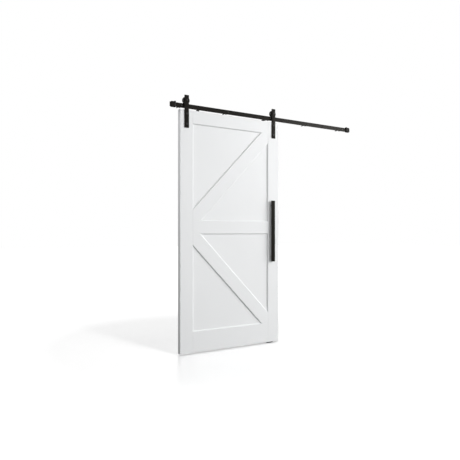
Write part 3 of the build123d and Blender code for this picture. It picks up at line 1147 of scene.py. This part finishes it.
@dataclass
class Leaf:
    """The K-brace leaf: its boards, panels, braces and tenons, as the frame has them."""

    boards: tuple = (
        (Grain.UPRIGHT, ("left_stile", "right_stile", "upper_panel", "lower_panel")),
        (Grain.LEVEL, ("top_rail", "mid_rail", "bottom_rail")),
        (Grain.RISING, ("upper_brace_front", "upper_brace_back")),
        (Grain.FALLING, ("lower_brace_front", "lower_brace_back")),
    )

    def build(self) -> None:
        """Paints each board along its own length, and leaves the tenons bare."""
        for grain, nodes in self.boards:
            paint = WhitePaint(grain)
            for node in nodes:
                dress(node, paint)
        dress("frame_tenons", BareBeech())


@dataclass
class Track:
    """The bar, its spacers and lag bolts, and the end stops."""

    bar_edge: float = 0.0008
    bar_corner: float = 0.002
    spacer_bore: float = 0.0045
    spacer_edge: float = 0.0008
    lag_flats: float = 0.013
    lag_head: float = 0.0053
    lag_shank: float = 0.004
    lag_core: float = 0.0031
    lag_pitch: float = 0.0032
    lag_point: float = 0.007
    stop_corner: float = 0.0095
    stop_edge: float = 0.0016
    stop_inset: float = 0.0024
    slot_edge: float = 0.0003
    slot_gap: float = 0.0001
    screw_radius: float = 0.003
    screw_core: float = 0.0027
    screw_end: float = 0.003
    screw_thread: Thread = Thread(pitch=0.001, depth=0.0004, start=0.0005, end=0.007)
    screw_socket: float = 0.003
    screw_socket_depth: float = 0.0024

    def build(self) -> None:
        """Builds the track's pieces."""
        bar = Extent.of("track_rail")
        strip = flat_bar(bar, 0, self.bar_edge, self.bar_corner)
        add_piece("track_bar", [strip], "track", COAT, "track_rail")
        self._fixings(bar)
        for side in SIDES:
            self._stop(side, bar)
        self._stop_screws()

    def _fixings(self, bar: Extent) -> None:
        """The spacers behind the bar and the lag bolts through them.

        Args:
            bar: The bar's box.
        """
        spacers = Extent.of("wall_spacers")
        places = np.linspace(*spacers.ends(0, spacers.half(2)), FIXING_COUNT)
        tubes = [tube(spacers, self.spacer_bore, self.spacer_edge, x, 0.0) for x in places]
        add_piece("spacer_tubes", tubes, "track", COAT, "wall_spacers")
        seat = bar.low[1]
        length = Extent.of("lag_bolts").high[1] - seat
        lag = Bolt(
            drive=Drive.HEXAGON_HEAD,
            head_radius=self.lag_flats / 2,
            head_height=self.lag_head,
            shank_radius=self.lag_shank,
            length=length,
            thread=Thread(self.lag_pitch, self.lag_shank - self.lag_core, -seat, length - self.lag_point),
            point=self.lag_point,
        )
        bolts = [lag.at(Way.TO_WALL, (x, seat, 0.0)) for x in places]
        add_piece("lag_screws", bolts, "track", OXIDE, "lag_bolts")

    def _saddle(self, block: Extent, bar: Extent, low_edge: float, high_edge: float) -> Surface:
        """A block that straddles the bar, open below.

        Its section is an arch with eight corners, which shrinks along a quarter circle towards each
        end: by its whole radius in height, and by the stop's inset at most in depth.

        Args:
            block: The block's box.
            bar: The bar's box.
            low_edge: The circle's radius at its low X end.
            high_edge: The circle's radius at its high X end.

        Returns:
            The surface.
        """
        shape = 1 - np.cos(quarter(END_STEPS))
        from_low, from_high = low_edge * shape, high_edge * shape[::-1]
        x = np.concatenate([block.low[0] + from_low, block.high[0] - from_high])
        inset = np.concatenate([quarter_inset(from_low, low_edge), quarter_inset(from_high, high_edge)])
        depth = np.minimum(inset, self.stop_inset)
        front, back = block.low[1] + depth, block.high[1] - depth
        foot, top = block.low[2] + inset, block.high[2] - inset
        still = np.ones_like(inset)
        slot_front, slot_back = (bar.low[1] - self.slot_gap) * still, (bar.high[1] + self.slot_gap) * still
        roof = bar.high[2] * still
        y = np.column_stack([front, front, back, back, slot_back, slot_back, slot_front, slot_front])
        z = np.column_stack([foot, top, top, foot, foot, roof, roof, foot])
        radii = np.array([self.stop_edge] * 4 + [self.slot_edge] * 4)
        outline = rounded(np.stack([y, z], axis=-1), radii)
        x = np.repeat(x[:, None], outline.shape[1], axis=1)
        return Surface(np.concatenate([x[..., None], outline], axis=-1))

    def _stop(self, side: str, bar: Extent) -> None:
        """The body and bumper of one end stop. The body's outer end is the rounder one.

        Args:
            side: "left" or "right".
            bar: The bar's box.
        """
        edges = (self.stop_corner, self.stop_edge)
        body, bumper = (Extent.of(f"{side}_stop_{part}") for part in ("body", "bumper"))
        block = self._saddle(body, bar, *(edges if side == "left" else edges[::-1]))
        pad = self._saddle(bumper, bar, self.stop_edge, self.stop_edge)
        add_piece(f"{side}_stop_block", [block], "track", COAT, f"{side}_stop_body")
        add_piece(f"{side}_stop_pad", [pad], "track", RUBBER, f"{side}_stop_bumper")

    def _stop_screws(self) -> None:
        """The socket set screws of the two stops, as fasteners with a long round head."""
        both = Extent.of("stop_screws")
        seat = both.low[1] + self.screw_end
        screw = Bolt(
            drive=Drive.HEXAGON_SOCKET,
            head_radius=self.screw_radius,
            head_height=self.screw_end,
            shank_radius=self.screw_core,
            length=both.high[1] - seat,
            thread=self.screw_thread,
            recess=self.screw_socket,
            recess_depth=self.screw_socket_depth,
        )
        places = [(x, seat, both.middle[2]) for x in both.ends(0, self.screw_radius)]
        screws = [screw.at(Way.TO_WALL, place) for place in places]
        add_piece("stop_set_screws", screws, "track", OXIDE, "stop_screws")


@dataclass
class Hanger:
    """One strap with its wheel and bearing."""

    side: str
    strap_edge: float = 0.0007
    strap_corner: float = 0.002
    wheel_edge: float = 0.0009
    wheel_segments: int = 120
    wheel_fit: float = 0.00005
    tread_radius: float = 0.028
    groove_half: float = 0.0036
    groove_flare: float = 0.0016
    dish_radius: float = 0.0255
    dish_depth: float = 0.002
    bearing_edge: float = 0.0003
    bearing_segments: int = 96
    ring_wall: float = 0.0024
    seal_step: float = 0.0004
    seal_gap: float = 0.0003

    def build(self) -> None:
        """Builds the strap, wheel and bearing."""
        plate = flat_bar(Extent.of(f"{self.side}_strap"), 2, self.strap_edge, self.strap_corner)
        add_piece(f"{self.side}_strap_plate", [plate], "door", COAT, f"{self.side}_strap")
        bearing = Extent.of(f"{self.side}_bearing")
        self._wheel(bearing)
        self._bearing(bearing)

    def _wheel(self, bearing: Extent) -> None:
        """The grooved wheel, dished on both sides, as a ring about its axle.

        Args:
            bearing: The bearing's box, which the wheel's bore holds.
        """
        wheel = Extent.of(f"{self.side}_wheel")
        rim, half = wheel.half(2), wheel.half(1)
        seat, dish = bearing.high[2] - wheel.middle[2] + self.wheel_fit, half - self.dish_depth
        corners = [
            (self.tread_radius, self.groove_half),
            (rim, self.groove_half + self.groove_flare),
            (rim, half),
            (self.dish_radius, half),
            (self.dish_radius, dish),
            (seat, dish),
        ]
        grooved = even_ring(corners, self.wheel_edge, 4, wheel.middle, self.wheel_segments)
        self._roll("grooved_wheel", grooved, NYLON, "wheel")

    def _bearing(self, bearing: Extent) -> None:
        """The bearing's outer ring, with the seals set a step behind its faces.

        Args:
            bearing: The bearing's box.
        """
        x, _, z = bearing.middle
        outer, half = bearing.half(2), bearing.half(1)
        bore = Extent.of("bearing_inner_rings").half(2) + self.seal_gap
        wall, step = outer - self.ring_wall, self.seal_step
        corners = [
            (outer, half),
            (wall, half),
            (wall - step / 2, half - step),
            (wall - step * 3, half - step),
            (wall - step * 4, half - step / 2),
            (bore, half - step / 2),
        ]
        sealed = even_ring(corners, self.bearing_edge, 2, bearing.middle, self.bearing_segments)
        steel = GroundSteel(f"{self.side}_ground_steel", x, z)
        self._roll("sealed_bearing", sealed, steel, "bearing")

    def _roll(self, name: str, shape: Surface, finish: Finish, node: str) -> None:
        """Adds a piece that rolls with this side's wheel."""
        add_piece(f"{self.side}_{name}", [shape], f"{self.side}_roller", finish, f"{self.side}_{node}")


@dataclass(frozen=True)
class HexBolt:
    """A hexagon bolt and its nut: the width across flats, the head's height and the threaded length."""

    flats: float
    head: float
    threaded: float


@dataclass
class HangerFixings:
    """The bolts, nuts, sleeves and inner rings of both hangers."""

    strap: HexBolt = HexBolt(flats=0.016, head=0.006, threaded=0.012)
    axle: HexBolt = HexBolt(flats=0.017, head=0.0064, threaded=0.016)
    bolt_radius: float = 0.005
    pitch: float = 0.0015
    thread_depth: float = 0.0006
    thread_end: float = 0.0006
    bore: float = 0.00505
    sleeve_edge: float = 0.0004
    ring_edge: float = 0.0005

    def build(self) -> None:
        """Builds the fixings of both sides."""
        straps = [Extent.of(f"{side}_strap") for side in SIDES]
        xs, face = [strap.middle[0] for strap in straps], straps[0].low[1]
        heights = Extent.of("strap_bolts").ends(2, self.strap.flats / 2)
        z = Extent.of("axle_bolts").middle[2]
        holes, axles = [(x, height) for x in xs for height in heights], [(x, z) for x in xs]
        self._bolts("strap", self.strap, face, holes)
        self._nuts("strap", self.strap, holes)
        self._bolts("axle", self.axle, face, axles)
        steel = GroundSteel("inner_ring_steel", 0.0, z)
        self._tubes("axle_spacer_sleeves", OXIDE, "axle_sleeves", self.sleeve_edge, axles)
        self._tubes("bearing_inner_races", steel, "bearing_inner_rings", self.ring_edge, axles)
        self._nuts("axle", self.axle, axles)

    def _bolts(self, kind: str, sizes: HexBolt, face: float, spots: Spots) -> None:
        """Bolts from the straps' front face to the back of their node's box.

        Args:
            kind: "strap" or "axle".
            sizes: The bolts' sizes.
            face: The y of the straps' front face.
            spots: The bolts' x and z.
        """
        length = Extent.of(f"{kind}_bolts").high[1] - face
        start, end = length - sizes.threaded, length - self.thread_end
        thread = Thread(self.pitch, self.thread_depth, start, end, self.thread_end)
        bolt = Bolt(Drive.HEXAGON_HEAD, sizes.flats / 2, sizes.head, self.bolt_radius, length, thread)
        bolts = [bolt.at(Way.TO_WALL, (x, face, z)) for x, z in spots]
        add_piece(f"{kind}_hex_bolts", bolts, "door", OXIDE, f"{kind}_bolts")

    def _nuts(self, kind: str, sizes: HexBolt, spots: Spots) -> None:
        """The nuts of those bolts."""
        nuts = [hexagon_nut(Extent.of(f"{kind}_nuts"), sizes.flats, self.bore, *spot) for spot in spots]
        add_piece(f"{kind}_hex_nuts", nuts, "door", OXIDE, f"{kind}_nuts")

    def _tubes(self, name: str, finish: Finish, node: str, edge: float, spots: Spots) -> None:
        """Tubes on both axles."""
        tubes = [tube(Extent.of(node), self.bore, edge, *spot) for spot in spots]
        add_piece(name, tubes, "door", finish, node)


@dataclass
class LeafHardware:
    """The anti-jump discs and the pull bar."""

    disc_edge: float = 0.0012
    disc_foot_edge: float = 0.0008
    disc_hole_edge: float = 0.0002
    disc_foot: float = 0.0105
    disc_rim_height: float = 0.004
    disc_segments: int = 72
    screw_play: float = 0.0002
    screw: WoodScrew = WoodScrew(
        head=0.0046,
        shank=0.0024,
        pitch=0.0022,
        thread_depth=0.0007,
        bare=0.004,
        recess=0.0052,
        recess_depth=0.0018,
    )
    bar_edge: float = 0.0008
    bar_corner: float = 0.0015
    weld: float = 0.002
    post_edge: float = 0.0006
    bolt_head: float = 0.0065
    bolt_shank: float = 0.003
    bolt_head_height: float = 0.0035
    bolt_socket: float = 0.004
    bolt_socket_depth: float = 0.0024

    def build(self) -> None:
        """Builds the discs, their screws, and the pull bar with its posts and bolts."""
        self._discs()
        self._pull_bar()

    def _discs(self) -> None:
        """The discs, narrower at the foot, and their countersunk screws."""
        box = Extent.of("anti_jump_discs")
        radius, foot, top = box.half(1), box.low[2], box.high[2]
        places = [(x, box.middle[1]) for x in box.ends(0, radius)]
        hole, sink = self.screw.shank + self.screw_play, self.screw.head + self.screw_play
        corners = [
            (hole, foot),
            (self.disc_foot, foot),
            (radius, top - self.disc_rim_height),
            (radius, top),
            (sink, top),
            (hole, top - (sink - hole)),
        ]
        hole_edge, rim_edge = self.disc_hole_edge, self.disc_edge
        edges = np.array([hole_edge, self.disc_foot_edge, rim_edge, rim_edge, hole_edge, hole_edge])
        section = rounded(np.array(corners), edges)
        discs = [ring(section, Way.UP, (x, y, 0.0), self.disc_segments) for x, y in places]
        add_piece("rubber_discs", discs, "door", RUBBER, "anti_jump_discs")
        screws = self.screw.down(Extent.of("anti_jump_screws"), places)
        add_piece("disc_wood_screws", screws, "door", OXIDE, "anti_jump_screws")

    def _pull_bar(self) -> None:
        """The flat pull bar, its posts with a small weld at the bar, and its bolts from the back."""
        box, posts, bolts = (Extent.of(node) for node in ("handle_bar", "handle_posts", "handle_bolts"))
        bar = flat_bar(box, 2, self.bar_edge, self.bar_corner)
        add_piece("pull_bar", [bar], "door", COAT, "handle_bar")
        x, radius = box.middle[0], posts.half(0)
        heights = posts.ends(2, radius)
        front, back = posts.low[1], posts.high[1]
        turn = quarter(EDGE_STEPS)
        bead, rise = self.weld * (1 - np.sin(turn)), self.weld * (1 - np.cos(turn))
        rows = np.column_stack([radius + bead, front + rise])
        rows = np.vstack([rows, [radius, back - self.post_edge], [radius - self.post_edge, back]])
        grids = all_round(rows, ROUND_SEGMENTS)
        stems = [Surface(turned(grids, Way.TO_WALL, (x, 0.0, z))) for z in heights]
        add_piece("pull_bar_posts", stems, "door", COAT, "handle_posts")
        seat = bolts.high[1] - self.bolt_head_height
        bolt = Bolt(
            drive=Drive.HEXAGON_SOCKET,
            head_radius=self.bolt_head,
            head_height=self.bolt_head_height,
            shank_radius=self.bolt_shank,
            length=seat - bolts.low[1],
            recess=self.bolt_socket,
            recess_depth=self.bolt_socket_depth,
        )
        shafts = [bolt.at(Way.TO_FRONT, (x, seat, z)) for z in heights]
        add_piece("pull_bar_bolts", shafts, "door", OXIDE, "handle_bolts")


@dataclass
class FloorGuide:
    """The fin on its base plate, and its screws."""

    screw: WoodScrew = WoodScrew(
        head=0.004,
        shank=0.002,
        pitch=0.0018,
        thread_depth=0.0005,
        bare=0.002,
        recess=0.0046,
        recess_depth=0.0016,
    )

    def build(self) -> None:
        """Coats the guide and builds its screws."""
        dress("floor_guide", COAT)
        box = Extent.of("floor_guide_screws")
        places = [(x, box.middle[1]) for x in box.ends(0, self.screw.head)]
        add_piece("guide_wood_screws", self.screw.down(box, places), "track", OXIDE, "floor_guide_screws")


# Studio


class Lit(Enum):
    """What a light falls on: the link state of the floor in the light's own collection."""

    DOOR = "EXCLUDE"
    FLOOR = "INCLUDE"


LEAF_CENTRE = (-0.44, -0.03, -1.1)
LEAF_FOOT = (-0.44, -0.03, -2.1)


@dataclass(frozen=True)
class Softbox:
    """A rectangular area light that looks at a point."""

    name: str
    place: tuple
    width: float
    height: float
    power: float
    target: tuple = LEAF_CENTRE
    lit: Lit = Lit.DOOR
    in_gloss: bool = False

    def build(self, floor: bpy.types.Object) -> None:
        """Hangs the light, turns it to its target and sets what it falls on.

        Args:
            floor: The floor, which a light falls on alone or not at all.
        """
        data = bpy.data.lights.new(self.name, "AREA")
        data.shape = "RECTANGLE"
        data.size = self.width
        data.size_y = self.height
        data.energy = self.power
        lamp = bpy.data.objects.new(self.name, data)
        east, north, up = np.array(self.target) - np.array(self.place)
        tilt = float(np.arctan2(np.hypot(east, north), -up))
        heading = float(np.arctan2(north, east)) - pi / 2
        lamp.location = self.place
        lamp.rotation_euler = (tilt, 0.0, heading)
        lamp.visible_glossy = self.in_gloss
        bpy.context.scene.collection.objects.link(lamp)
        receivers = bpy.data.collections.new(f"{self.name}_receivers")
        receivers.objects.link(floor)
        receivers.collection_objects[0].light_linking.link_state = self.lit.value
        lamp.light_linking.receiver_collection = receivers
        log.info("light %s: %.0f W on the %s", self.name, self.power, self.lit.name.lower())


@dataclass
class Studio:
    """The white studio: floor, world, lights and the camera at the photograph's viewing angle."""

    camera_place: tuple = (-2.8667, -3.9240, -1.1066)
    camera_heading: float = radians(31.83)
    focal_pixels: float = 494.0
    horizon_pixels: float = 232.35
    image_pixels: float = 460.0
    sensor: float = 36.0
    sight: float = 100.0
    floor_reach: float = 30.0
    ambient: float = 0.395
    lights: tuple = (
        Softbox("key_side", (10.481, -4.892, -0.054), 4.0, 4.0, 254.0, in_gloss=True),
        Softbox("key_wide", (8.613, -7.626, -0.2), 7.0, 5.0, 310.0),
        Softbox("front_wide", (2.608, -8.405, 0.153), 7.0, 5.0, 440.0),
        Softbox("back_wide", (2.608, 8.405, 0.153), 7.0, 5.0, 440.0),
        Softbox("left_top", (-4.0, 0.6, 2.0), 1.6, 1.6, 60.0, target=(-0.97, 0.0, -0.7)),
        Softbox("right_near", (2.6, -2.2, 0.5), 1.2, 1.2, 21.0, target=(0.0, 0.0, -0.5), in_gloss=True),
        Softbox("floor_strip", (-0.3, -2.63, 3.2), 0.25, 3.4, 76.0, target=LEAF_FOOT, lit=Lit.FLOOR),
    )

    def build(self) -> None:
        """Sets up the studio."""
        scene = bpy.context.scene
        scene.view_settings.view_transform = "Standard"
        self._camera(scene)
        floor = self._floor(scene)
        self._world(scene)
        for light in self.lights:
            light.build(floor)

    def _camera(self, scene: bpy.types.Scene) -> None:
        """A level camera, with the focal length and the small rise that the photograph's lines give.

        Args:
            scene: The scene that uses it.
        """
        data = bpy.data.cameras.new("camera")
        data.sensor_width = self.sensor
        data.lens = self.focal_pixels / self.image_pixels * self.sensor
        data.shift_y = (self.horizon_pixels - self.image_pixels / 2) / self.image_pixels
        data.clip_end = self.sight
        camera = bpy.data.objects.new("camera", data)
        camera.location = self.camera_place
        camera.rotation_euler = (pi / 2, 0.0, -self.camera_heading)
        scene.collection.objects.link(camera)
        scene.camera = camera

    def _floor(self, scene: bpy.types.Scene) -> bpy.types.Object:
        """A square floor under the floor guide.

        Args:
            scene: The scene that it lies in.

        Returns:
            The floor's object.
        """
        level = Extent.of("floor_guide").low[2]
        signs = ((-1, -1), (1, -1), (1, 1), (-1, 1))
        corners = [(x * self.floor_reach, y * self.floor_reach, level) for x, y in signs]
        mesh = bpy.data.meshes.new("floor")
        mesh.from_pydata(corners, [], [(0, 1, 2, 3)])
        mesh.materials.append(StudioFloor().material)
        floor = bpy.data.objects.new("floor", mesh)
        scene.collection.objects.link(floor)
        return floor

    def _world(self, scene: bpy.types.Scene) -> None:
        """White where the camera and mirrors see it, and an even grey light elsewhere.

        Args:
            scene: The scene that it surrounds.
        """
        world = bpy.data.worlds.new("studio")
        world.use_nodes = True
        recipe = Recipe(world.node_tree)
        path = recipe.add("ShaderNodeLightPath")
        shown = path.out("Is Camera Ray") + path.out("Is Glossy Ray") + path.out("Is Transmission Ray")
        strength = self.ambient + shown.clipped() * (1.0 - self.ambient)
        inputs = {"Color": (1.0, 1.0, 1.0, 1.0), "Strength": strength}
        background = recipe.add("ShaderNodeBackground", inputs).out("Background")
        recipe.add("ShaderNodeOutputWorld", {"Surface": background})
        scene.world = world


def main() -> None:
    """Builds the door's sub-assemblies and then the studio round them."""
    logging.basicConfig(level=logging.INFO, format="%(name)s: %(message)s")
    hangers = [Hanger(side) for side in SIDES]
    for assembly in (Leaf(), Track(), *hangers, HangerFixings(), LeafHardware(), FloorGuide(), Studio()):
        assembly.build()


if __name__ == "__main__":
    main()
